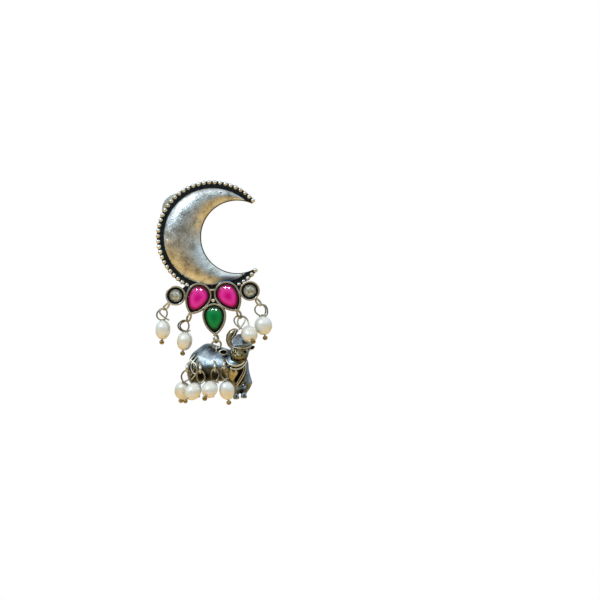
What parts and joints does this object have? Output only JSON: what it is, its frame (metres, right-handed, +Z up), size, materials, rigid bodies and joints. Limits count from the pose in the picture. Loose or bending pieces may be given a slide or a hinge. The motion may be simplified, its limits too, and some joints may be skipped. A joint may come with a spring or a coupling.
{
  "type": "chandbali earring",
  "caption": "Chandbali drop earring: domed crescent with a beaded rim, a row of set stones, pearl drops on wire loops and a cast bull pendant that swings.",
  "frame": {"origin": "where the ear post leaves the flat back of the crescent", "axes": "+Z up as worn, along the hanging length; the face looks to -Y, +Y runs back along the ear post; +X to the right as seen from the front"},
  "size_m": [0.0291, 0.0189, 0.0561],
  "materials": {
    "silver": "polished silver plate, oxidised dark in the recesses",
    "antique_silver": "antiqued cast silver plate",
    "gilt_wire": "tarnished polished wire",
    "pearl": "soft pearl lustre",
    "pink_stone": "polished dome",
    "green_stone": "polished dome",
    "clear_stone": "cut facets"
  },
  "bodies": {
    "root": {"frame": "silver", "ear_nut": "silver", "stone_pink_left": "pink_stone", "stone_pink_right": "pink_stone", "stone_green": "green_stone", "stone_white_left": "clear_stone", "stone_white_right": "clear_stone", "pearl_1": "pearl", "pearl_2": "pearl", "pearl_3": "pearl", "pearl_4": "pearl", "headpin_1": "gilt_wire", "headpin_2": "gilt_wire", "headpin_3": "gilt_wire", "headpin_4": "gilt_wire"},
    "ring": {"jump_ring": "silver"},
    "pendant": {"bull": "antique_silver", "bull_pearl_1": "pearl", "bull_pearl_2": "pearl", "bull_pearl_3": "pearl", "bull_pearl_4": "pearl", "bull_headpin_1": "gilt_wire", "bull_headpin_2": "gilt_wire", "bull_headpin_3": "gilt_wire", "bull_headpin_4": "gilt_wire"}
  },
  "joints": [
    {"name": "ring_swing", "type": "hinge", "parent": "root", "child": "ring", "pos_m": [0.00992, -0.00115, -0.03341], "axis": [0, 1, 0], "range_deg": [-6, 12]},
    {"name": "pendant_swing", "type": "hinge", "parent": "ring", "child": "pendant", "pos_m": [0.00992, -0.00115, -0.03505], "axis": [1, 0, 0], "range_deg": [-12, 20]}
  ]
}
